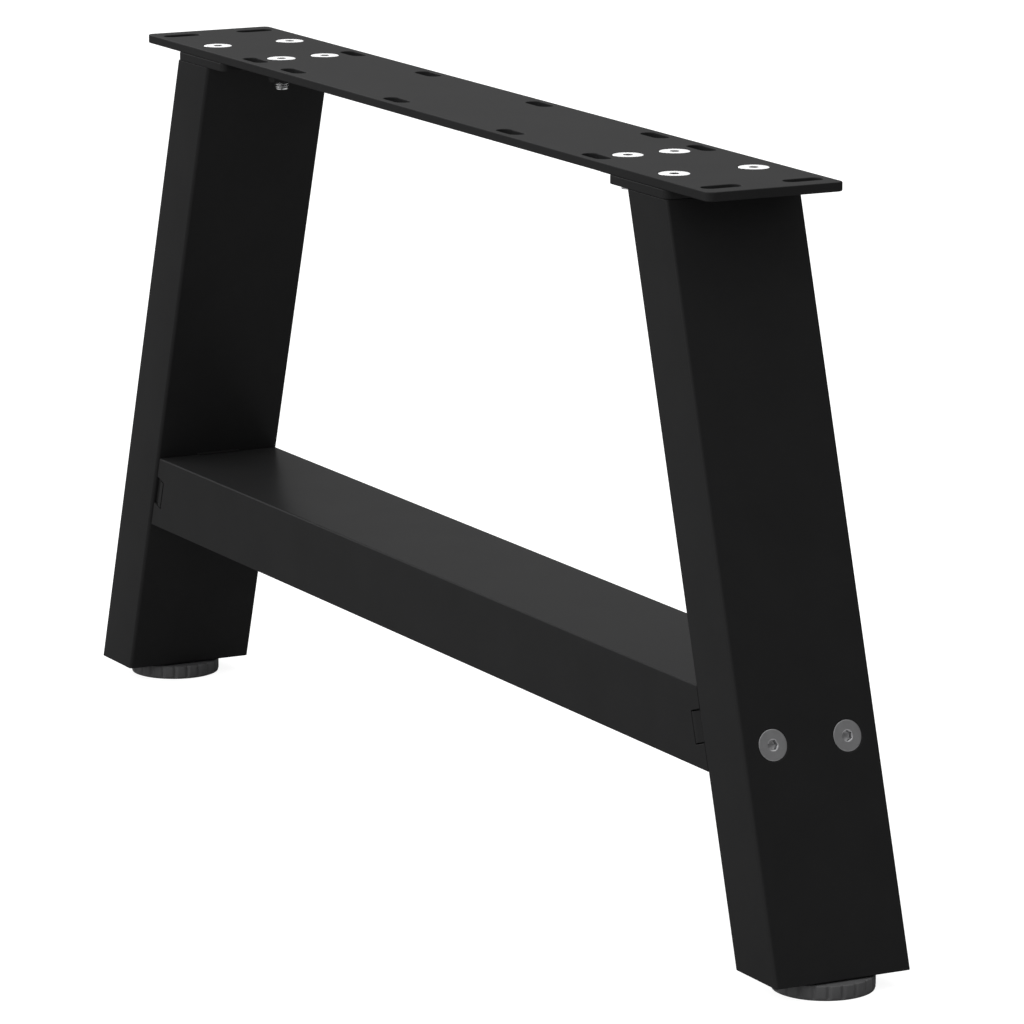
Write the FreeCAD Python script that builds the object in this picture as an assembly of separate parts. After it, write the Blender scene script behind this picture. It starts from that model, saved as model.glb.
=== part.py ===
import FreeCAD, Part
import math
import os

# Trestle table leg: an A-shaped steel frame that carries one end of a table top.
# Millimetres. +X runs along the top plate, +Y through the frame's depth, +Z up.
# The origin is on the floor, under the middle of the frame.
# The right half is modelled, and the left half is its mirror image. Only the top
# plate has its own pattern, which repeats after half a turn about +Z.

V = FreeCAD.Vector
ORIGIN = V(0, 0, 0)
ACROSS, THROUGH, UP = V(1, 0, 0), V(0, 1, 0), V(0, 0, 1)

# Frame
overall_height = 406.0
leg_slant_deg = 17.2
leg_bottom_half_span = 415.8      # middle of the frame to the leg's outer face, at its bottom

# Leg tube, a rectangular steel tube cut level at both ends
tube_thickness = 40.0
tube_depth = 80.0
tube_wall = 2.0
tube_corner_radius = 2.0

# Top plate
plate_length = 680.0
plate_thickness = 5.0
plate_corner_radius = 4.0

# Slots for the screws into the table top
slot_length = 22.5
slot_width = 9.0
end_slot_inset = 15.5             # plate's end to the middle of an end slot
end_slot_spacing = 48.0           # between the two slots at one end
edge_slot_inset = 8.5             # plate's edge to the middle of a slot along it
front_slot_places = [-206.5, -156.0, -25.0, 110.0, 206.5]

# Flange welded on top of each leg tube, with a narrower tongue inwards
flange_thickness = 5.0
flange_reach = 20.5               # past the tube's inner face
tongue_reach = 38.5               # past the flange
tongue_width = 50.0
flange_corner_radius = 4.0

# Screws with countersunk heads, for the top plate and for the crossbar
screw_radius = 3.95
screw_head_radius = 8.25
screw_head_rim = 0.3
countersink_radius = 8.75
clearance_hole_radius = 4.5
nut_bore_radius = 4.0
socket_flats = 5.0
socket_depth = 3.0
plate_screw_length = 18.0
outer_screw_spacing = 47.0
inner_screw_spacing = 28.0
screw_row_spacing = 66.5
nut_flats = 13.0
flange_nut_height = 4.0

# Crossbar, a folded channel that is open below
bar_bottom = 106.0
bar_height = 43.0
bar_setback = 1.0                 # from the tube's front and back faces
bar_sheet = 2.0
bar_bend_radius = 1.0
bar_end_gap = 1.0

# Bracket in each end of the crossbar, with an ear in a notch on either side
bracket_sheet = 3.0
bracket_bend_radius = 8.0
notch_height = 18.0
notch_depth = 10.5                # from the tube's inner face
notch_corner_radius = 0.6
ear_clearance = 0.8
tab_width = 27.0
tab_clearance = 0.3
tab_rise = 0.8                    # above the crossbar's top
cheek_margin = 2.0                # of the plate behind a notch, past the notch
bracket_bottom_margin = 0.5

# Bolts through each leg tube into the bracket, in sleeves that keep the tube's walls apart
bar_bolt_height = 126.5           # where the bolt's axis meets the outer face
bar_bolt_spacing = 44.0
bar_bolt_length = 50.0
bar_nut_height = 6.5
sleeve_radius = 9.0

# Levelling foot
knob_radius = 27.0
knob_height = 8.0
knob_chamfer = 0.6
knob_groove_count = 22
knob_groove_radius = 1.5
knob_groove_depth = 1.0
knob_recess_radius = 21.0
knob_recess_depth = 0.6
hub_radius = 9.0
hub_height = 0.7
hub_clearance = 0.3
stud_radius = 5.0
stud_length = 31.7
stud_fit = 0.05
stud_seat_depth = 6.4             # of the knob's bore, below the hub's top
stud_end_gap = 0.3
stud_chamfer = 0.8
foot_plate_thickness = 3.0
foot_plate_hole_radius = 5.5
foot_nut_flats = 17.0
foot_nut_height = 8.0

# Small round parts and round holes are many-sided, to keep the model light
round_sides = 16
screw_sides = 20
stud_sides = 24
groove_sides = 8

# Worked out from the sizes above
slant = math.radians(leg_slant_deg)
tube_bottom = knob_height + hub_height + hub_clearance
plate_underside = overall_height - plate_thickness
tube_top = plate_underside - flange_thickness
leg_rise = tube_top - tube_bottom
level_thickness = tube_thickness / math.cos(slant)
tube_top_outer_x = leg_bottom_half_span - leg_rise * math.tan(slant)
tube_top_inner_x = tube_top_outer_x - level_thickness
foot_x = leg_bottom_half_span - level_thickness / 2
outer_screw_x = tube_top_outer_x - level_thickness / 2
plate_width = tube_depth
bar_top = bar_bottom + bar_height
bar_depth = tube_depth - 2 * bar_setback
far = 2 * overall_height + 2 * leg_bottom_half_span

# A leg's own frame: x = 0 on the outer face, z up along the tube, z = 0 at its outer bottom edge
LEG = FreeCAD.Placement(V(leg_bottom_half_span, 0, tube_bottom), FreeCAD.Rotation(THROUGH, -leg_slant_deg))
bolt_along_leg = (bar_bolt_height - tube_bottom) / math.cos(slant)


def height_along_leg(level, depth_from_face):
    """Distance up the tube at which a level plane is met, at a depth under the outer face."""
    return (level - tube_bottom + depth_from_face * math.sin(slant)) / math.cos(slant)


def box(low, high):
    """A box between two corners."""
    return Part.makeBox(high[0] - low[0], high[1] - low[1], high[2] - low[2], V(*low))


def edges_along(shape, direction, keep=lambda middle: True):
    """Straight edges that run along a direction, where keep says yes to their middle."""
    found = []
    for edge in shape.Edges:
        if len(edge.Vertexes) != 2:
            continue
        run = edge.Vertexes[1].Point.sub(edge.Vertexes[0].Point)
        middle = edge.Vertexes[0].Point.add(run.multiply(0.5))
        if run.Length > 0 and abs(abs(run.normalize().dot(direction)) - 1) < 1e-6 and keep(middle):
            found.append(edge)
    return found


def rounded_box(low, high, radius, direction=UP, keep=lambda middle: True):
    """A box whose edges along one direction are rounded, or stay sharp for a radius of nothing."""
    shape = box(low, high)
    return shape.makeFillet(radius, edges_along(shape, direction, keep)) if radius > 0 else shape


def prism(radius, low, high, sides):
    """A many-sided rod about Z between two heights, with its corners at a radius."""
    turns = [2 * math.pi * i / sides for i in range(sides + 1)]
    corners = [V(radius * math.cos(turn), radius * math.sin(turn), low) for turn in turns]
    return Part.Face(Part.makePolygon(corners)).extrude(V(0, 0, high - low))


def taper(low_radius, low, high_radius, high, sides):
    """A many-sided cone about Z, from one radius and height to another."""
    ends = []
    for radius, height in ((low_radius, low), (high_radius, high)):
        turns = [2 * math.pi * i / sides for i in range(sides)]
        ends.append([V(radius * math.cos(turn), radius * math.sin(turn), height) for turn in turns])
    faces = [Part.Face(Part.makePolygon(end + end[:1])) for end in ends]
    for i in range(sides):
        j = (i + 1) % sides
        side = [ends[0][i], ends[0][j], ends[1][j], ends[1][i]]
        faces.append(Part.Face(Part.makePolygon(side + side[:1])))
    shell = Part.makeShell(faces)
    shell.sewShape()
    solid = Part.makeSolid(shell)
    if solid.Volume < 0:
        solid.reverse()
    return solid


def level_slab(low, high):
    """Everything between two heights."""
    return box((-far, -far, low), (far, far, high))


def placed(shape, placement):
    """The shape, moved from a placement's own frame."""
    shape.Placement = placement.multiply(shape.Placement)
    return shape


def on_leg(shape):
    """The shape, moved from the leg's own frame into the whole frame."""
    return placed(shape, LEG)


def cut_mirrored(shape, tool):
    """The shape less a tool and the tool's mirror image at the other side."""
    return shape.cut(tool).cut(tool.mirror(ORIGIN, ACROSS))


def hexagon(flats, low, high):
    """A six-sided rod about Z between two heights, by its width across flats."""
    return prism(flats / math.sqrt(3), low, high, 6)


def nut(flats, height, bore_radius):
    """A hexagon nut on Z = 0."""
    return hexagon(flats, 0, height).cut(prism(bore_radius, 0, height, screw_sides))


def countersink(depth):
    """Tool for a countersunk hole: Z = 0 is the surface, and the hole runs down."""
    neck = clearance_hole_radius - countersink_radius
    cone = taper(clearance_hole_radius, neck, countersink_radius, 0, screw_sides)
    return cone.fuse(prism(clearance_hole_radius, -depth, 0, screw_sides))


def countersunk_screw(length):
    """A screw with a hexagon socket, seated in the countersink: Z = 0 is the surface."""
    top = screw_head_radius + screw_head_rim - countersink_radius
    edge = top - screw_head_rim
    neck = edge - screw_head_radius + screw_radius
    rim = prism(screw_head_radius, edge, top, screw_sides)
    head = taper(screw_radius, neck, screw_head_radius, edge, screw_sides)
    shank = prism(screw_radius, top - length, edge, screw_sides)
    socket = hexagon(socket_flats, top - socket_depth, top)
    return shank.fuse([head, rim]).removeSplitter().cut(socket)


def slot_prism(length, width, height):
    """A slot along X with round ends, from Z = 0 upwards."""
    radius = width / 2
    half = length / 2 - radius
    outline = [
        Part.makeLine(V(-half, -radius, 0), V(half, -radius, 0)),
        Part.Arc(V(half, -radius, 0), V(half + radius, 0, 0), V(half, radius, 0)).toShape(),
        Part.makeLine(V(half, radius, 0), V(-half, radius, 0)),
        Part.Arc(V(-half, radius, 0), V(-half - radius, 0, 0), V(-half, -radius, 0)).toShape(),
    ]
    return Part.Face(Part.Wire(outline)).extrude(V(0, 0, height))


def plate_screw_places():
    """Name and place of the four screws at the right leg."""
    inner_x = outer_screw_x - screw_row_spacing
    return {
        "outer_front": (outer_screw_x, -outer_screw_spacing / 2),
        "outer_back": (outer_screw_x, outer_screw_spacing / 2),
        "inner_front": (inner_x, -inner_screw_spacing / 2),
        "inner_back": (inner_x, inner_screw_spacing / 2),
    }


def slot_places():
    """Place and turn in degrees of half the slots: the other half follow after half a turn."""
    slot_y = plate_width / 2 - edge_slot_inset
    end_x = plate_length / 2 - end_slot_inset
    along = [(x, -slot_y, 0) for x in front_slot_places]
    across = [(end_x, side * end_slot_spacing / 2, 90) for side in (-1, 1)]
    return along + across


def bar_bolt_places():
    """Name and Y of the two bolts through the right leg."""
    return {"front": -bar_bolt_spacing / 2, "back": bar_bolt_spacing / 2}


def bolt_frame(y, depth=0.0):
    """Placement at a bolt of the leg, with Z out of the outer face, at a depth under it."""
    return FreeCAD.Placement(V(-depth, y, bolt_along_leg), FreeCAD.Rotation(THROUGH, 90))


def make_top_plate():
    """Flat plate with fourteen slots and eight countersunk holes."""
    corner = (plate_length / 2, plate_width / 2, overall_height)
    plate = rounded_box((-corner[0], -corner[1], plate_underside), corner, plate_corner_radius)
    for x, y, turn in slot_places():
        for half_turn in (1, -1):
            slot = slot_prism(slot_length, slot_width, plate_thickness)
            slot.rotate(ORIGIN, UP, turn)
            slot.translate(V(half_turn * x, half_turn * y, plate_underside))
            plate = plate.cut(slot)
    for x, y in plate_screw_places().values():
        for half_turn in (1, -1):
            hole = countersink(plate_thickness)
            hole.translate(V(half_turn * x, half_turn * y, overall_height))
            plate = plate.cut(hole)
    return plate


def make_flange():
    """Flange on the right leg, as deep as the tube, with the narrower tongue inwards."""
    flange_end = tube_top_inner_x - flange_reach
    tongue_end = flange_end - tongue_reach
    half_depth = tube_depth / 2
    half_tongue = tongue_width / 2
    wide = box((flange_end, -half_depth, tube_top), (tube_top_outer_x, half_depth, plate_underside))
    tongue = box((tongue_end, -half_tongue, tube_top), (flange_end, half_tongue, plate_underside))
    flange = wide.fuse(tongue).removeSplitter()
    flange = flange.makeFillet(flange_corner_radius, edges_along(flange, UP))
    for x, y in plate_screw_places().values():
        hole = prism(clearance_hole_radius, tube_top, plate_underside, round_sides)
        hole.translate(V(x, y, 0))
        flange = flange.cut(hole)
    return flange


def tube_prism(inset):
    """The tube's outline less an inset all round, placed on the leg and longer than it."""
    half_depth = tube_depth / 2 - inset
    low = (inset - tube_thickness, -half_depth, -tube_thickness)
    high = (-inset, half_depth, leg_rise / math.cos(slant) + tube_thickness)
    return on_leg(rounded_box(low, high, tube_corner_radius - inset))


def make_leg_tube():
    """Slanted tube, cut level at both ends, with a countersunk hole and a through hole for each bolt."""
    tube = tube_prism(0).cut(tube_prism(tube_wall)).common(level_slab(tube_bottom, tube_top))
    for y in bar_bolt_places().values():
        tube = tube.cut(on_leg(placed(countersink(tube_thickness), bolt_frame(y))))
    return tube


def make_sleeve(y):
    """Spacer between the tube's walls, round a bolt; the countersink runs on into it."""
    sleeve = prism(sleeve_radius, tube_wall - tube_thickness, -tube_wall, round_sides)
    return on_leg(placed(sleeve.cut(countersink(tube_thickness)), bolt_frame(y)))


def channel_space():
    """The space between the channel's walls, which runs on below it and past its ends."""
    half = bar_depth / 2 - bar_sheet
    low = (-far, -half, bar_bottom - bar_height)
    high = (far, half, bar_top - bar_sheet)
    return rounded_box(low, high, bar_bend_radius - bar_sheet, ACROSS, lambda middle: middle.z > bar_bottom)


def notch_middle():
    """Middle of the notch's height, up the leg."""
    return height_along_leg(bar_bottom + bar_height / 2, tube_thickness + notch_depth / 2)


def notch_tool():
    """Box that cuts the notch into both side walls."""
    middle = notch_middle()
    low = (-tube_thickness - notch_depth, -tube_depth, middle - notch_height / 2)
    high = (0, tube_depth, middle + notch_height / 2)
    return on_leg(rounded_box(low, high, notch_corner_radius, THROUGH, lambda m: m.x < -tube_thickness))


def tab_slot_tool():
    """Box that cuts the slot for the bracket's tab into the channel's top."""
    half_slot = tab_width / 2 + tab_clearance
    slot_end = -tube_thickness - bracket_sheet - tab_clearance
    return on_leg(box((slot_end, -half_slot, bolt_along_leg), (0, half_slot, far)))


def make_crossbar():
    """Channel folded down at front and back, cut to the legs' slant at its ends."""
    corner = (leg_bottom_half_span, bar_depth / 2, bar_top)
    low = (-corner[0], -corner[1], bar_bottom)
    bar = rounded_box(low, corner, bar_bend_radius, ACROSS, lambda middle: middle.z > bar_bottom)
    bar = bar.cut(channel_space())
    past_end = on_leg(box((-tube_thickness - bar_end_gap, -far, -far), (far, far, far)))
    for tool in (past_end, notch_tool(), tab_slot_tool()):
        bar = cut_mirrored(bar, tool)
    return bar


def make_ears():
    """The bracket's two ears, folded back into the notches from one strap."""
    face = -tube_thickness
    end = face - notch_depth + ear_clearance
    half = bar_depth / 2
    inner_half = half - bracket_sheet
    half_height = notch_height / 2 - ear_clearance
    low, high = notch_middle() - half_height, notch_middle() + half_height
    strap = rounded_box((end, -half, low), (face, half, high), bracket_bend_radius, UP, lambda m: m.x > end)
    hollow_low = (end - bracket_sheet, -inner_half, low)
    hollow_high = (face - bracket_sheet, inner_half, high)
    inner_radius = bracket_bend_radius - bracket_sheet
    hollow = rounded_box(hollow_low, hollow_high, inner_radius, UP, lambda m: m.x > end)
    return on_leg(strap.cut(hollow))


def make_cheeks():
    """The bracket's two plates inside the channel's walls, each behind a notch."""
    face = -tube_thickness
    end = face - notch_depth - cheek_margin
    half = bar_depth / 2 - bar_sheet - tab_clearance
    half_height = notch_height / 2 + cheek_margin
    low, high = notch_middle() - half_height, notch_middle() + half_height
    block = box((end, -half, low), (face, half, high))
    inner_half = half - bracket_sheet
    hollow = box((end, -inner_half, low), (face - bracket_sheet, inner_half, high))
    return on_leg(block.cut(hollow))


def make_bracket():
    """End plate of the crossbar with an ear in each notch, a plate behind it and a tab on top."""
    inner, face = -tube_thickness - bracket_sheet, -tube_thickness
    web = on_leg(box((inner, -tube_depth, -far), (face, tube_depth, far))).common(channel_space())
    web = web.common(level_slab(bar_bottom + bracket_bottom_margin, bar_top))
    tab = on_leg(box((inner, -tab_width / 2, 0), (face, tab_width / 2, far)))
    tab = tab.common(level_slab(bar_top - bar_height / 2, bar_top + tab_rise))
    bracket = web.fuse([make_ears(), make_cheeks(), tab]).removeSplitter()
    for y in bar_bolt_places().values():
        hole = prism(clearance_hole_radius, -far, 0, round_sides)
        bracket = bracket.cut(on_leg(placed(hole, bolt_frame(y))))
    return bracket


def make_bar_nut(y):
    """Nut welded on the bracket's inner side."""
    piece = nut(nut_flats, bar_nut_height, nut_bore_radius)
    piece.rotate(ORIGIN, UP, 90)
    piece.translate(V(0, 0, -bar_nut_height))
    return on_leg(placed(piece, bolt_frame(y, tube_thickness + bracket_sheet)))


def make_foot_plate():
    """Plate welded level into the tube's lower end."""
    top = tube_bottom + foot_plate_thickness
    plate = tube_prism(tube_wall).common(level_slab(tube_bottom, top))
    hole = prism(foot_plate_hole_radius, tube_bottom, top, round_sides)
    hole.translate(V(foot_x, 0, 0))
    return plate.cut(hole)


def make_foot_nut():
    """Nut welded on the foot plate, which the foot's stud turns in."""
    bottom = tube_bottom + foot_plate_thickness
    piece = hexagon(foot_nut_flats, bottom, bottom + foot_nut_height)
    piece = piece.cut(Part.makeCylinder(stud_radius + stud_fit, foot_nut_height, V(0, 0, bottom)))
    piece.translate(V(foot_x, 0, 0))
    return piece


def make_foot_stud():
    """Threaded stud, from its seat in the knob up through the nut."""
    bottom = knob_height + hub_height - stud_seat_depth + stud_end_gap
    top = bottom + stud_length
    edge = top - stud_chamfer
    end = taper(stud_radius, edge, stud_radius - stud_chamfer, top, stud_sides)
    stud = prism(stud_radius, bottom, edge, stud_sides).fuse(end).removeSplitter()
    stud.translate(V(foot_x, 0, 0))
    return stud


def make_foot_knob():
    """Moulded disc with a fluted rim, a hub on top and a shallow recess below."""
    hub_top = knob_height + hub_height
    edge = knob_height - knob_chamfer
    rim_sides = 2 * knob_groove_count
    disc = prism(knob_radius, 0, edge, rim_sides)
    top = taper(knob_radius, edge, knob_radius - knob_chamfer, knob_height, rim_sides)
    hub = prism(hub_radius, edge, hub_top, stud_sides)
    recess = prism(knob_recess_radius, 0, knob_recess_depth, stud_sides)
    knob = disc.fuse([top, hub]).removeSplitter().cut(recess)
    groove_circle = knob_radius - knob_groove_depth + knob_groove_radius
    groove = prism(knob_groove_radius, 0, knob_height, groove_sides)
    groove.translate(V(groove_circle, 0, 0))
    for i in range(knob_groove_count):
        turned = groove.copy()
        turned.rotate(ORIGIN, UP, 360 * (i + 0.5) / knob_groove_count)
        knob = knob.cut(turned)
    seat_floor = V(0, 0, hub_top - stud_seat_depth)
    knob = knob.cut(Part.makeCylinder(stud_radius + stud_fit, stud_seat_depth, seat_floor))
    knob.translate(V(foot_x, 0, 0))
    return knob


def right_leg_pieces():
    """Every piece of the right half, by name."""
    pieces = {
        "leg_tube": make_leg_tube(),
        "top_flange": make_flange(),
        "bar_bracket": make_bracket(),
        "foot_plate": make_foot_plate(),
        "foot_nut": make_foot_nut(),
        "foot_stud": make_foot_stud(),
        "foot_knob": make_foot_knob(),
    }
    for name, (x, y) in plate_screw_places().items():
        screw = countersunk_screw(plate_screw_length)
        screw.translate(V(x, y, overall_height))
        pieces["plate_screw_" + name] = screw
        flange_nut = nut(nut_flats, flange_nut_height, nut_bore_radius)
        flange_nut.translate(V(x, y, tube_top - flange_nut_height))
        pieces["flange_nut_" + name] = flange_nut
    for name, y in bar_bolt_places().items():
        pieces["bar_bolt_" + name] = on_leg(placed(countersunk_screw(bar_bolt_length), bolt_frame(y)))
        pieces["bar_sleeve_" + name] = make_sleeve(y)
        pieces["bar_nut_" + name] = make_bar_nut(y)
    return pieces


nodes = {"top_plate": make_top_plate(), "crossbar": make_crossbar()}
for name, shape in right_leg_pieces().items():
    nodes["right_" + name] = shape
    nodes["left_" + name] = shape.mirror(ORIGIN, ACROSS)

os.makedirs("parts", exist_ok=True)
for name, shape in nodes.items():
    shape.exportStep("parts/" + name + ".step")
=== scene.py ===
import math

import bmesh
import bpy
from mathutils import Matrix, Vector


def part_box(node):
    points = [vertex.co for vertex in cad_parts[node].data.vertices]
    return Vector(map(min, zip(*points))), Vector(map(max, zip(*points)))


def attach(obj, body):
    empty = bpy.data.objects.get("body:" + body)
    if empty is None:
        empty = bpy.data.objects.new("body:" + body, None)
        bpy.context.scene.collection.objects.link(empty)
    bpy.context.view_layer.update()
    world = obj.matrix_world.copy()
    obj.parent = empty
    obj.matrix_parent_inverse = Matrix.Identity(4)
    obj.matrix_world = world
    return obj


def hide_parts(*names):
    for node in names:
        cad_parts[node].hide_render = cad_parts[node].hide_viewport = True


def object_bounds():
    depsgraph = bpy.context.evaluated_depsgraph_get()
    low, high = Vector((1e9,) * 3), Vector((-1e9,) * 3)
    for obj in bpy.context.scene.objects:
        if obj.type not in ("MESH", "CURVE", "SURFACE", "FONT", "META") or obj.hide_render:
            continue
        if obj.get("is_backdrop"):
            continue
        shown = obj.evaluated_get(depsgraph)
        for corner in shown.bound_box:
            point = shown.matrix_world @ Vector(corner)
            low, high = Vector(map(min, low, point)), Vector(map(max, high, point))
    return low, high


# Trestle table leg: finishes, rounded edges, detailed screws, nuts and feet, light and camera round the
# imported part. Lengths are millimetres unless a comment says metres, and meshes are made in metres.

MM = 0.001

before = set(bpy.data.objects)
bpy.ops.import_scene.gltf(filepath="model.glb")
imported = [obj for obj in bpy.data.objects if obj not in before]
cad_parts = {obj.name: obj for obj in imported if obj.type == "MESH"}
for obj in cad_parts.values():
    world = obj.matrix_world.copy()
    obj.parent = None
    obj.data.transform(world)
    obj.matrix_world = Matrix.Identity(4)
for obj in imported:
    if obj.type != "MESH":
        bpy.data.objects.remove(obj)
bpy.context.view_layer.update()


def span(node):
    """A CAD node's size along X, Y and Z, in millimetres."""
    low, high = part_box(node)
    return (high - low) / MM


def place_of(node):
    """Middle of a CAD node's box, in millimetres."""
    low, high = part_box(node)
    return (low + high) / 2 / MM


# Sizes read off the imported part
flange_low, flange_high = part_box("right_top_flange")
tube_low, tube_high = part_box("right_leg_tube")
PLATE_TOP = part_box("top_plate")[1].z / MM
FLANGE_BOTTOM = flange_low.z / MM
SLANT = math.atan2(tube_high.x - flange_high.x, tube_high.z - tube_low.z)

# Rounded edges of the plates, tubes and folded sheets
PLATE_EDGE = 0.6
TUBE_EDGE = 0.3
EDGE_SEGMENTS = 2
EDGE_DEG = 40                     # edges bent by more than this are rounded
CREASE_DEG = 30                   # edges bent by more than this are shaded sharp before that
SAME_PLACE = 0.001
SAME_PLANE_DEG = 0.5

# Screws and bolts
HEAD_RADIUS = span("left_plate_screw_outer_front").y / 2
SCREW_LENGTH = span("left_plate_screw_outer_front").z
BOLT_LENGTH = 50.0
HEAD_TOP = -0.2                   # from the surface that the screw sits in
HEAD_RIM = 0.3                    # height and width of the head's bevelled rim
RIM_BEND = 0.09                   # how far the rim's middle lies in and down
NECK_LENGTH = 1.0                 # plain shank below the head's cone
NECK_TAPER = 0.6
SCREW_RADIUS = 3.95
SCREW_ROOT = 3.25
SCREW_PITCH = 1.25
SOCKET_FLATS = 5.0
SOCKET_MOUTH = 3.0                # radius that the socket's lead-in is added to
SOCKET_DEPTH = 3.0
SOCKET_POINT = 0.9                # cone in the socket's floor
SCREW_LEAD_IN = 0.02
BOLT_LEAD_IN = 0.25
SUPPORT = 0.1                     # between two rows that keep a flat face shaded flat
SCREW_TURNS = {"outer_front": 12, "outer_back": 41, "inner_front": 27, "inner_back": 3}
BOLT_TURNS = {"front": 19, "back": 47}
SCREW_SIDE_TURN = 7               # degrees, one way on the left and the other on the right
BOLT_SIDE_TURN = 11

# Nuts
NUT_FLATS = 13.0
NUT_BORE = 4.0
NUT_FACE_INSET = 0.15
NUT_CORNER_DEG = 30
NUT_THREAD_EDGE = 0.45
FLANGE_NUT_HEIGHT = span("left_flange_nut_outer_front").z
BAR_NUT_HEIGHT = 6.5
BAR_NUT_TURN = 90
SLEEVE_END = 43.0                 # along a bolt, from the tube's outer face
FOOT_NUT_FLATS = 17.0
FOOT_NUT_BORE = 5.05

# Threads: share of the depth and share of the pitch at each corner of one turn's outline
THREAD_OUTLINE = [(0.0, 0.0), (0.0, 0.22), (1.0, 0.55), (1.0, 0.67)]
THREAD_FADE = 0.7                 # share of the pitch over which a thread fades out
NO_HEIGHT = 1e-6                  # faces lower than this are left out

# Levelling feet
KNOB_RADIUS = span("left_foot_knob").x / 2
KNOB_HEIGHT = 8.0
KNOB_EDGE = 0.8
KNOB_EDGE_BENDS = 5
KNOB_BASE_INSET = 0.35
KNOB_BASE_HEIGHT = 0.9
KNOB_RECESS = 21.0
KNOB_RECESS_DEPTH = 0.6
KNOB_SOFT_EDGE = 0.1
HUB_FOOT = 9.6
HUB_SIDE = 8.9
HUB_HEIGHT = 0.7
HUB_STEP = 12.0                   # radius of a row that keeps the top shaded flat
KNOB_BORE = 5.08
KNOB_BORE_BOTTOM = 2.4
FLUTES = 22
FLUTE_DEPTH = 0.95
FLUTE_HALF_WIDTH = 1.8
FLUTES_FULL = 1.8                 # height where the flutes have their full depth
STEPS_PER_FLUTE = 16
STUD_CREST = 5.0
STUD_ROOT = 4.15
STUD_PITCH = 1.5


# Shading helpers


def new_material(name):
    """A material with its node tree and its Principled shader."""
    material = bpy.data.materials.new(name)
    material.use_nodes = True
    tree = material.node_tree
    shader = next(node for node in tree.nodes if node.type == "BSDF_PRINCIPLED")
    return material, tree, shader


def add(tree, kind, inputs=(), **settings):
    """A node of one kind with its settings, and its inputs set to values or linked to sockets."""
    node = tree.nodes.new(kind)
    for key, value in settings.items():
        setattr(node, key, value)
    for key, value in dict(inputs).items():
        if isinstance(value, bpy.types.NodeSocket):
            tree.links.new(value, node.inputs[key])
        else:
            node.inputs[key].default_value = value
    return node


def noise(tree, scale, detail=2.0, roughness=0.5):
    """Noise in the object's own metres: a scale of 1000 has features about a millimetre wide."""
    place = add(tree, "ShaderNodeTexCoord").outputs["Object"]
    inputs = {"Vector": place, "Scale": scale, "Detail": detail, "Roughness": roughness}
    return add(tree, "ShaderNodeTexNoise", inputs).outputs["Fac"]


def between(tree, value, low, high):
    """The value from 0 to 1, spread from low to high."""
    inputs = {"Value": value, "To Min": low, "To Max": high}
    return add(tree, "ShaderNodeMapRange", inputs).outputs["Result"]


def rough_normal(tree, height, distance, strength, edge):
    """Normals bent by a height and rounded over the edges."""
    rounded = add(tree, "ShaderNodeBevel", {"Radius": edge * MM}, samples=6).outputs["Normal"]
    inputs = {"Height": height, "Distance": distance * MM, "Strength": strength, "Normal": rounded}
    return add(tree, "ShaderNodeBump", inputs).outputs["Normal"]


def scaled(tree, colour, share):
    """The colour times a share."""
    inputs = {0: colour, "Scale": share}
    return add(tree, "ShaderNodeVectorMath", inputs, operation="SCALE").outputs["Vector"]


def tinted(tree, colour, amount, low, high):
    """The colour, made darker and lighter by a value."""
    return scaled(tree, colour, between(tree, amount, low, high))


def painted_recess_shade(tree, colour, darkest, reach=8.0, closed=0.55, open_from=0.9):
    """The colour with painted shade: darker where ambient occlusion finds narrow recesses of the piece
    itself, such as sockets and threads.
    """
    inputs = {"Color": (1, 1, 1, 1), "Distance": reach * MM}
    openness = add(tree, "ShaderNodeAmbientOcclusion", inputs, samples=8, only_local=True).outputs["AO"]
    spread = {"Value": openness, "From Min": closed, "From Max": open_from, "To Min": darkest, "To Max": 1.0}
    return scaled(tree, colour, add(tree, "ShaderNodeMapRange", spread).outputs["Result"])


def powder_coat(name, colour, roughness, gloss, gloss_roughness, edge=0.3):
    """Fine matt powder coat with a slight orange peel and a faint satin gloss."""
    material, tree, shader = new_material(name)
    grain = noise(tree, scale=2200, detail=3.0, roughness=0.6)
    cloud = noise(tree, scale=28, detail=3.0, roughness=0.6)
    tree.links.new(tinted(tree, colour, cloud, low=0.88, high=1.12), shader.inputs["Base Color"])
    tree.links.new(between(tree, cloud, roughness - 0.03, roughness + 0.03), shader.inputs["Roughness"])
    shader.inputs["Specular IOR Level"].default_value = 0.0
    shader.inputs["Coat Weight"].default_value = gloss
    shader.inputs["Coat Roughness"].default_value = gloss_roughness
    bent = rough_normal(tree, grain, distance=0.03, strength=0.35, edge=edge)
    tree.links.new(bent, shader.inputs["Normal"])
    tree.links.new(bent, shader.inputs["Coat Normal"])
    return material


def plated_metal(name, colour, roughness, darkest, edge=0.12):
    """Plated steel with a fine grain, and painted shade in its sockets and threads."""
    material, tree, shader = new_material(name)
    grain = noise(tree, scale=3500)
    cloud = noise(tree, scale=250)
    base = tinted(tree, colour, cloud, low=0.94, high=1.04)
    # painted shade: the base colour is darkened in the piece's own sockets and thread roots
    tree.links.new(painted_recess_shade(tree, base, darkest), shader.inputs["Base Color"])
    shader.inputs["Metallic"].default_value = 1.0
    tree.links.new(between(tree, cloud, roughness - 0.05, roughness + 0.06), shader.inputs["Roughness"])
    bent = rough_normal(tree, grain, distance=0.01, strength=0.25, edge=edge)
    tree.links.new(bent, shader.inputs["Normal"])
    return material


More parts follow.
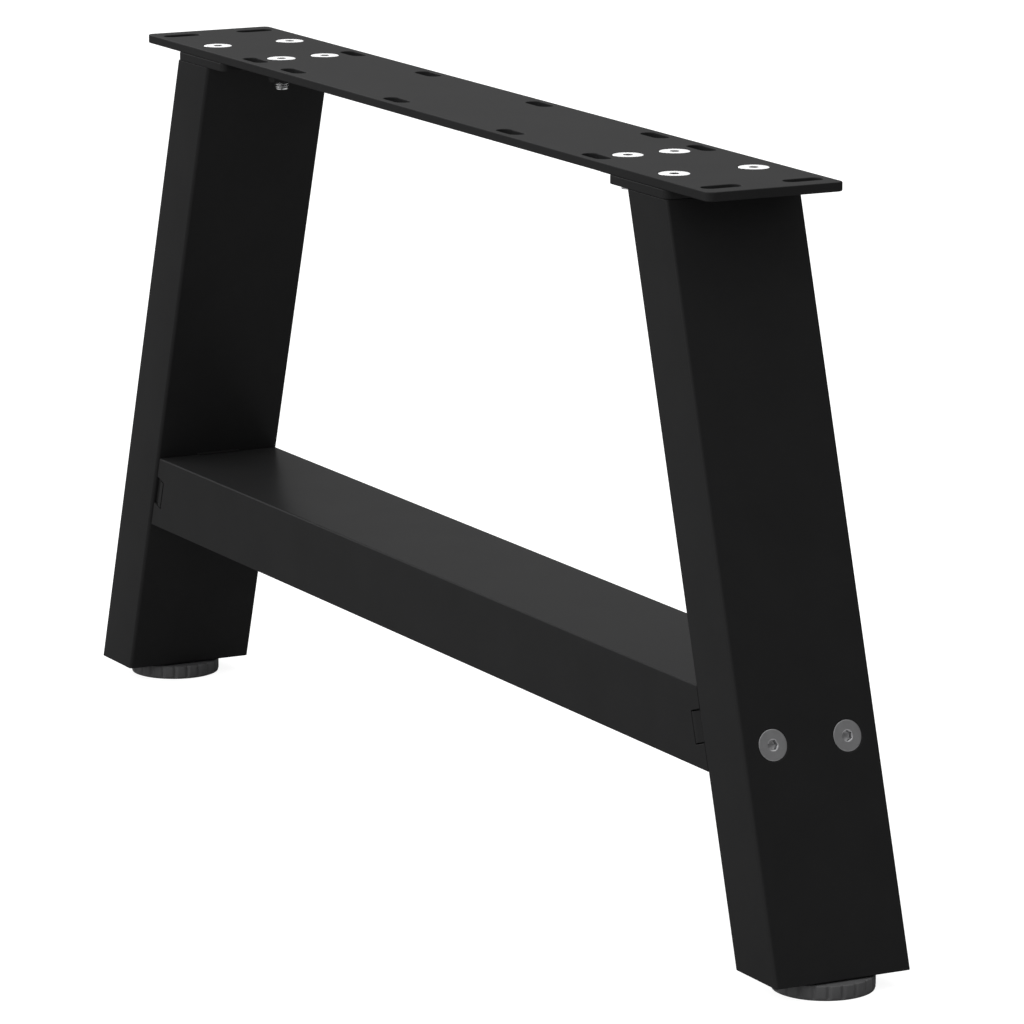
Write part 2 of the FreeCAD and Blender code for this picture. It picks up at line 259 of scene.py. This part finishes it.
def moulded_plastic(name, colour, roughness, shine, edge=0.2):
    """Matt moulded plastic with a fine texture."""
    material, tree, shader = new_material(name)
    grain = noise(tree, scale=2600, detail=3.0, roughness=0.6)
    cloud = noise(tree, scale=90)
    tree.links.new(tinted(tree, colour, cloud, low=0.92, high=1.08), shader.inputs["Base Color"])
    tree.links.new(between(tree, cloud, roughness - 0.04, roughness + 0.04), shader.inputs["Roughness"])
    shader.inputs["Specular IOR Level"].default_value = shine
    bent = rough_normal(tree, grain, distance=0.03, strength=0.4, edge=edge)
    tree.links.new(bent, shader.inputs["Normal"])
    return material


LOOKS = {
    "black_powder_coat": powder_coat(
        "black_powder_coat", (0.0172, 0.0172, 0.0175), roughness=0.7, gloss=0.12, gloss_roughness=0.31
    ),
    # darkest: the share of the metal's colour left in its deepest painted shade
    "zinc_plated_steel": plated_metal("zinc_plated_steel", (0.93, 0.93, 0.94), roughness=0.22, darkest=0.05),
    "bolt_steel": plated_metal("bolt_steel", (0.5, 0.5, 0.51), roughness=0.32, darkest=0.75),
    "foot_plastic": moulded_plastic("foot_plastic", (0.086, 0.086, 0.088), roughness=0.6, shine=0.3),
}


def look_of(node):
    """The material slot that a CAD node takes its finish from."""
    if "foot_knob" in node:
        return "foot_plastic"
    if "plate_screw" in node or "foot_stud" in node or "foot_nut" in node:
        return "zinc_plated_steel"
    if "bar_bolt" in node:
        return "bolt_steel"
    return "black_powder_coat"


for node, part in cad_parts.items():
    part.data.materials.clear()
    part.data.materials.append(LOOKS[look_of(node)])


# Mesh helpers


def lathe(rows, steps=48, closed=False):
    """Points and faces of a surface turned about Z. A row is a radius and a height, and each of them
    may be a function of the turn. Rows run up the outside and down the inside."""
    points, rings, faces = [], [], []
    for radius, height in rows:
        first = len(points)
        if radius == 0:
            points.append((0.0, 0.0, height))
            rings.append([first] * steps)
            continue
        for i in range(steps):
            turn = 2 * math.pi * i / steps
            reach = radius(turn) if callable(radius) else radius
            lift = height(turn) if callable(height) else height
            points.append((reach * math.cos(turn), reach * math.sin(turn), lift))
        rings.append(list(range(first, first + steps)))
    following = rings[1:] + (rings[:1] if closed else [])
    for lower, upper in zip(rings, following):
        for i in range(steps):
            j = (i + 1) % steps
            corners = [lower[i], lower[j], upper[j], upper[i]]
            faces.append(tuple(dict.fromkeys(corners)))
    return points, faces


def thread(crest, root, pitch, low, high, steps=36):
    """Points and faces of a right-handed thread between two heights, which fades out at both ends."""
    turns = math.ceil((high - low) / pitch) + 2
    count = turns * steps
    points, faces = [], []
    for i in range(count + 1):
        turn = 2 * math.pi * i / steps
        for depth, share in THREAD_OUTLINE:
            height = low - pitch + pitch * (i / steps + share)
            height = min(max(height, low), high)
            fade = min(1.0, (height - low) / (THREAD_FADE * pitch), (high - height) / (THREAD_FADE * pitch))
            reach = root + (crest - root) * depth * max(0.0, fade)
            points.append((reach * math.cos(turn), reach * math.sin(turn), height))
    width = len(THREAD_OUTLINE)
    for i in range(count):
        for k in range(width):
            here, there = i * width + k, (i + 1) * width + k
            if k < width - 1:
                corners = (here, there, there + 1, here + 1)
            elif i + 1 + steps <= count:
                corners = (here, there, (i + 1 + steps) * width, (i + steps) * width)
            else:
                continue
            heights = [points[c][2] for c in corners]
            if max(heights) - min(heights) > NO_HEIGHT:
                faces.append(corners)
    return points, faces


def merged(*parts):
    """Several lots of points and faces as one."""
    points, faces = [], []
    for more_points, more_faces in parts:
        first = len(points)
        points += more_points
        faces += [tuple(first + c for c in face) for face in more_faces]
    return points, faces


def hex_radius(flats):
    """Radius of a hexagon by its width across flats, as a function of the turn."""
    def reach(turn):
        return flats / 2 / math.cos((turn % (math.pi / 3)) - math.pi / 6)
    return reach


def new_object(name, data):
    """An object in the scene with its data, which may be a mesh, a lamp or a camera."""
    thing = bpy.data.objects.new(name, data)
    bpy.context.scene.collection.objects.link(thing)
    return thing


def shade_smooth(mesh, sharp_deg):
    """Smooth shading, with the edges bent by more than an angle kept sharp."""
    mesh.polygons.foreach_set("use_smooth", [True] * len(mesh.polygons))
    mesh.set_sharp_from_angle(angle=math.radians(sharp_deg))


def add_piece(node, shape, body, placement, sharp_deg=32):
    """A detailed piece from millimetre points, in a CAD node's stead, riding on a body."""
    points, faces = shape
    mesh = bpy.data.meshes.new(f"{node}_detail")
    mesh.from_pydata([Vector(p) * MM for p in points], [], faces)
    mesh.update()
    shade_smooth(mesh, sharp_deg)
    piece = new_object(f"{node}_detail", mesh)
    look = look_of(node)
    mesh.materials.append(LOOKS[look])
    piece.matrix_world = placement
    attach(piece, body)
    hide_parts(node)


def placed_at(point, axis=(0, 0, 1), turn_deg=0.0):
    """Placement with Z along an axis, at a point in millimetres, after a turn about Z."""
    swing = Vector((0, 0, 1)).rotation_difference(Vector(axis)).to_matrix().to_4x4()
    turn = Matrix.Rotation(math.radians(turn_deg), 4, "Z")
    return Matrix.Translation(Vector(point) * MM) @ swing @ turn


# Plates, tubes and folded sheets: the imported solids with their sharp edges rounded

EDGE_RADIUS = {
    "top_plate": PLATE_EDGE,
    "left_top_flange": PLATE_EDGE,
    "right_top_flange": PLATE_EDGE,
    "left_leg_tube": TUBE_EDGE,
    "right_leg_tube": TUBE_EDGE,
    "crossbar": TUBE_EDGE,
    "left_foot_plate": TUBE_EDGE,
    "right_foot_plate": TUBE_EDGE,
}


def without_seams(mesh):
    """Joins the mesh's points that lie in one place, and its faces that lie in one plane."""
    shape = bmesh.new()
    shape.from_mesh(mesh)
    bmesh.ops.remove_doubles(shape, verts=shape.verts, dist=SAME_PLACE * MM)
    flat = math.radians(SAME_PLANE_DEG)
    bmesh.ops.dissolve_limit(shape, angle_limit=flat, verts=shape.verts, edges=shape.edges)
    shape.to_mesh(mesh)
    shape.free()


def rounded_copy(node, radius):
    """A copy of a CAD node's mesh with its sharp edges rounded, in its place and on its body."""
    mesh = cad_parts[node].data.copy()
    without_seams(mesh)
    shade_smooth(mesh, CREASE_DEG)
    piece = new_object(f"{node}_detail", mesh)
    bevel = piece.modifiers.new("edges", "BEVEL")
    bevel.width = radius * MM
    bevel.segments = EDGE_SEGMENTS
    bevel.angle_limit = math.radians(EDGE_DEG)
    bevel.use_clamp_overlap = False
    bevel.harden_normals = True
    ready = piece.evaluated_get(bpy.context.evaluated_depsgraph_get())
    piece.data = bpy.data.meshes.new_from_object(ready)
    piece.modifiers.clear()
    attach(piece, "frame")
    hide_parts(node)


for node, radius in EDGE_RADIUS.items():
    rounded_copy(node, radius)


# Screws and nuts: a screw's Z = 0 is the surface it sits in, and a nut's is its lower face


def countersunk_screw(length, lead_in):
    """Screw with a hexagon socket of some lead-in, a bevelled rim and a thread."""
    top = HEAD_TOP
    edge = top - HEAD_RIM
    neck = edge - (HEAD_RADIUS - SCREW_RADIUS)
    thread_top = neck - NECK_LENGTH
    tail = top - length
    mouth = SOCKET_MOUTH + lead_in
    socket = hex_radius(SOCKET_FLATS)
    head = lathe([
        (SCREW_ROOT, thread_top),
        (SCREW_RADIUS, thread_top + NECK_TAPER),
        (SCREW_RADIUS, neck),
        (HEAD_RADIUS, edge),
        (HEAD_RADIUS - RIM_BEND, top - RIM_BEND),
        (HEAD_RADIUS - HEAD_RIM, top),
        (HEAD_RADIUS - HEAD_RIM - SUPPORT, top),
        (mouth + SUPPORT, top),
        (mouth, top),
        (lambda turn: max(socket(turn), SOCKET_FLATS / 2 + lead_in), top - lead_in),
        (socket, top - SUPPORT - lead_in),
        (socket, top - SOCKET_DEPTH),
        (0, top - SOCKET_DEPTH - SOCKET_POINT),
    ])
    end = lathe([(0, tail), (SCREW_ROOT, tail)])
    return merged(head, thread(SCREW_RADIUS, SCREW_ROOT, SCREW_PITCH, tail, thread_top), end)


def chamfered_nut(flats, height, bore):
    """Hexagon nut with its corners turned down and its thread's ends bevelled."""
    corner = hex_radius(flats)
    face_radius = flats / 2 - NUT_FACE_INSET
    slope = math.tan(math.radians(NUT_CORNER_DEG))

    def drop(turn):
        return (corner(turn) - face_radius) * slope

    rows = [
        (bore, NUT_THREAD_EDGE),
        (bore + NUT_THREAD_EDGE, 0),
        (face_radius, 0),
        (corner, drop),
        (corner, lambda turn: height - drop(turn)),
        (face_radius, height),
        (bore + NUT_THREAD_EDGE, height),
        (bore, height - NUT_THREAD_EDGE),
    ]
    return lathe(rows, closed=True)


screw_shape = countersunk_screw(SCREW_LENGTH, SCREW_LEAD_IN)
bolt_shape = countersunk_screw(BOLT_LENGTH, BOLT_LEAD_IN)
flange_nut_shape = chamfered_nut(NUT_FLATS, FLANGE_NUT_HEIGHT, NUT_BORE)
bar_nut_shape = chamfered_nut(NUT_FLATS, BAR_NUT_HEIGHT, NUT_BORE)

for side, sign in (("left", -1), ("right", 1)):
    for row, turn in SCREW_TURNS.items():
        node = f"{side}_plate_screw_{row}"
        spot = place_of(node)
        place = placed_at((spot.x, spot.y, PLATE_TOP), turn_deg=turn + SCREW_SIDE_TURN * sign)
        add_piece(node, screw_shape, "frame", place)
        place = placed_at((spot.x, spot.y, FLANGE_BOTTOM - FLANGE_NUT_HEIGHT))
        add_piece(f"{side}_flange_nut_{row}", flange_nut_shape, "frame", place)
    outward = Vector((sign * math.cos(SLANT), 0, math.sin(SLANT)))
    for row, turn in BOLT_TURNS.items():
        node = f"{side}_bar_bolt_{row}"
        low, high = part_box(node)
        reach = high.x if sign > 0 else -low.x
        head = Vector((
            sign * (reach / MM - HEAD_RADIUS * math.sin(SLANT)),
            place_of(node).y,
            high.z / MM - HEAD_RADIUS * math.cos(SLANT),
        ))
        seat = head - outward * HEAD_TOP
        add_piece(node, bolt_shape, "frame", placed_at(seat, outward, turn + BOLT_SIDE_TURN * sign))
        place = placed_at(seat - outward * (SLEEVE_END + BAR_NUT_HEIGHT), outward, BAR_NUT_TURN)
        add_piece(f"{side}_bar_nut_{row}", bar_nut_shape, "frame", place)


# Levelling feet


def flute_cut(turn):
    """How far a flute cuts into the knob's rim, from 0 to 1."""
    spacing = 2 * math.pi / FLUTES
    away = abs((turn % spacing) - spacing / 2) * KNOB_RADIUS
    if away >= FLUTE_HALF_WIDTH:
        return 0.0
    return 0.5 + 0.5 * math.cos(math.pi * away / FLUTE_HALF_WIDTH)


def rim(inset, share=1.0):
    """Radius of the rim less an inset, with a share of the flutes' depth."""
    return lambda turn: KNOB_RADIUS - inset - share * FLUTE_DEPTH * flute_cut(turn)


def knob():
    """Moulded disc with a fluted rim on a smooth base, a hub on top and a shallow recess below."""
    base = KNOB_RADIUS - KNOB_BASE_INSET
    recess = [
        (0, KNOB_RECESS_DEPTH),
        (KNOB_RECESS - 0.4, KNOB_RECESS_DEPTH),
        (KNOB_RECESS - 0.1, KNOB_RECESS_DEPTH - KNOB_SOFT_EDGE),
        (KNOB_RECESS + 0.2, KNOB_SOFT_EDGE),
        (KNOB_RECESS + 0.5, 0.0),
    ]
    foot = [
        (KNOB_RADIUS - KNOB_EDGE, 0.0),
        (base - KNOB_SOFT_EDGE, 0.15),
        (base, 0.4),
        (base, KNOB_BASE_HEIGHT),
        (rim(0.2, 0.4), KNOB_BASE_HEIGHT + 0.15),
        (rim(0.05, 0.8), KNOB_BASE_HEIGHT + 0.4),
        (rim(0.0), FLUTES_FULL),
    ]
    shoulder = []
    for i in range(KNOB_EDGE_BENDS + 1):
        turn = math.pi / 2 * i / KNOB_EDGE_BENDS
        inset, drop = KNOB_EDGE * (1 - math.cos(turn)), KNOB_EDGE * (1 - math.sin(turn))
        shoulder.append((rim(inset), KNOB_HEIGHT - drop))
    hub_top = KNOB_HEIGHT + HUB_HEIGHT
    hub = [
        (HUB_STEP, KNOB_HEIGHT),
        (HUB_FOOT, KNOB_HEIGHT),
        (HUB_SIDE + 0.2, KNOB_HEIGHT + 0.15),
        (HUB_SIDE, hub_top - KNOB_SOFT_EDGE),
        (HUB_SIDE - 0.2, hub_top),
        (KNOB_BORE + 0.22, hub_top),
        (KNOB_BORE, hub_top - 0.2),
        (KNOB_BORE, KNOB_BORE_BOTTOM),
        (0, KNOB_BORE_BOTTOM),
    ]
    return lathe(recess + foot + shoulder + hub, steps=STEPS_PER_FLUTE * FLUTES)


def stud(low, high):
    """Threaded stud between two heights."""
    ends = merged(lathe([(0, low), (STUD_ROOT, low)]), lathe([(STUD_ROOT, high), (0, high)]))
    return merged(thread(STUD_CREST, STUD_ROOT, STUD_PITCH, low, high), ends)


knob_shape = knob()
for side in ("left", "right"):
    spot = place_of(f"{side}_foot_knob")
    place = placed_at((spot.x, spot.y, 0))
    add_piece(f"{side}_foot_knob", knob_shape, f"{side}_knob", place)
    low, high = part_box(f"{side}_foot_stud")
    add_piece(f"{side}_foot_stud", stud(low.z / MM, high.z / MM), f"{side}_stud", place)
    low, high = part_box(f"{side}_foot_nut")
    nut_shape = chamfered_nut(FOOT_NUT_FLATS, (high.z - low.z) / MM, FOOT_NUT_BORE)
    add_piece(f"{side}_foot_nut", nut_shape, "frame", placed_at((spot.x, spot.y, low.z / MM)))


# Light: white for the camera, and a studio with a bright far side for everything else

FAR_SIDE = (-0.865, 0.457, 0.207)
ABOVE = (0, 0, 1)
BELOW = (0, 0, -1)
RIGHT_SIDE = (1, 0, 0.3)
FRONT = (0, -1, 0.1)
LEFT_WINDOW = (-0.9, -0.15, 0.4)
WHITE = (1, 1, 1, 1)
world = bpy.data.worlds.new("studio")
bpy.context.scene.world = world
world.use_nodes = True
sky = world.node_tree
sky.nodes.clear()
ray = add(sky, "ShaderNodeTexCoord").outputs["Generated"]


def glow(direction, start, full, strength):
    """Light that comes from round a direction, from its start to full by the cosine from it."""
    facing = {0: ray, 1: Vector(direction).normalized()}
    cosine = add(sky, "ShaderNodeVectorMath", facing, operation="DOT_PRODUCT").outputs["Value"]
    inputs = {"Value": cosine, "From Min": start, "From Max": full, "To Max": strength}
    return add(sky, "ShaderNodeMapRange", inputs, interpolation_type="SMOOTHSTEP").outputs["Result"]


def total(values):
    """Sum of several values."""
    result = values[0]
    for value in values[1:]:
        result = add(sky, "ShaderNodeMath", {0: result, 1: value}, operation="ADD").outputs["Value"]
    return result


def backdrop(strength):
    """White light of a strength for the world."""
    return add(sky, "ShaderNodeBackground", {"Color": WHITE, "Strength": strength}).outputs["Background"]


studio_light = total([
    glow(FAR_SIDE, start=0.72, full=0.97, strength=1.0),
    glow(ABOVE, start=0.1, full=1.0, strength=0.75),
    glow(RIGHT_SIDE, start=0.2, full=0.9, strength=0.05),
    glow(FRONT, start=0.0, full=0.9, strength=0.9),
    glow(LEFT_WINDOW, start=0.84, full=0.96, strength=2.2),
    glow(BELOW, start=-1.0, full=-0.9, strength=0.05),
])
by_camera = add(sky, "ShaderNodeLightPath").outputs["Is Camera Ray"]
either = {0: by_camera, 1: backdrop(studio_light), 2: backdrop(1.0)}
add(sky, "ShaderNodeOutputWorld", {"Surface": add(sky, "ShaderNodeMixShader", either).outputs["Shader"]})


def softbox(name, place, aim, size, watts):
    """A square lamp that shines from a place towards a point, in metres."""
    lamp = bpy.data.lights.new(name, "AREA")
    lamp.shape = "SQUARE"
    lamp.size = size
    lamp.energy = watts
    holder = new_object(name, lamp)
    holder.location = place
    holder.rotation_mode = "QUATERNION"
    holder.rotation_quaternion = (Vector(aim) - Vector(place)).to_track_quat("-Z", "Y")
    holder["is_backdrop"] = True


softbox("overhead", place=(-0.4, 0.6, 2.6), aim=(0, 0, 0.3), size=2.4, watts=22)
softbox("front_fill", place=(0.0, -2.6, 0.9), aim=(0, 0, 0.2), size=1.6, watts=10)


FLOOR_HALF = 8.0                  # metres
FLOOR_GREY = (0.4, 0.4, 0.4, 1)
SHADOW_GREY = (0.3, 0.3, 0.3, 1)
FLOOR_GLOW = 0.91


def pale_floor():
    """Plain pale floor, nearly white for the camera, with the object's soft shadow on it."""
    material, tree, shader = new_material("pale_floor")
    shader.inputs["Base Color"].default_value = FLOOR_GREY
    shader.inputs["Roughness"].default_value = 1.0
    shader.inputs["Specular IOR Level"].default_value = 0.0
    out = next(node for node in tree.nodes if node.type == "OUTPUT_MATERIAL")
    white = add(tree, "ShaderNodeEmission", {"Color": WHITE, "Strength": FLOOR_GLOW}).outputs["Emission"]
    matt = add(tree, "ShaderNodeBsdfDiffuse", {"Color": SHADOW_GREY}).outputs["BSDF"]
    lit = add(tree, "ShaderNodeAddShader", {0: white, 1: matt}).outputs["Shader"]
    camera_ray = add(tree, "ShaderNodeLightPath").outputs["Is Camera Ray"]
    looks = {0: camera_ray, 1: shader.outputs["BSDF"], 2: lit}
    tree.links.new(add(tree, "ShaderNodeMixShader", looks).outputs["Shader"], out.inputs["Surface"])
    mesh = bpy.data.meshes.new("floor")
    signs = ((-1, -1), (1, -1), (1, 1), (-1, 1))
    mesh.from_pydata([(x * FLOOR_HALF, y * FLOOR_HALF, 0) for x, y in signs], [], [(0, 1, 2, 3)])
    mesh.materials.append(material)
    floor = new_object("floor", mesh)
    floor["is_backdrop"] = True


pale_floor()


# Camera at the photograph's angle: place and clip distances in metres, lens and sensor in millimetres

CAMERA_PLACE = Vector((3.03501, -1.57489, 0.89747))
CAMERA_YAW, CAMERA_PITCH, CAMERA_ROLL = (math.radians(a) for a in (62.1605, -11.9447, -0.1141))
CAMERA_LENS = 219.05
SENSOR_WIDTH = 36.0
CLIP_START = 0.1
CLIP_END = 60.0

forward = Vector((
    -math.sin(CAMERA_YAW) * math.cos(CAMERA_PITCH),
    math.cos(CAMERA_YAW) * math.cos(CAMERA_PITCH),
    math.sin(CAMERA_PITCH),
))
level_right = Vector((math.cos(CAMERA_YAW), math.sin(CAMERA_YAW), 0))
level_down = forward.cross(level_right)
image_right = math.cos(CAMERA_ROLL) * level_right + math.sin(CAMERA_ROLL) * level_down
image_down = -math.sin(CAMERA_ROLL) * level_right + math.cos(CAMERA_ROLL) * level_down
camera = bpy.data.cameras.new("camera")
camera.lens = CAMERA_LENS
camera.sensor_width = SENSOR_WIDTH
camera.clip_start = CLIP_START
camera.clip_end = CLIP_END
eye = new_object("camera", camera)
turned = Matrix((image_right, -image_down, -forward)).transposed()
eye.matrix_world = Matrix.Translation(CAMERA_PLACE) @ turned.to_4x4()
bpy.context.scene.camera = eye

bpy.context.scene.view_settings.view_transform = "Standard"

low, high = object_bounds()
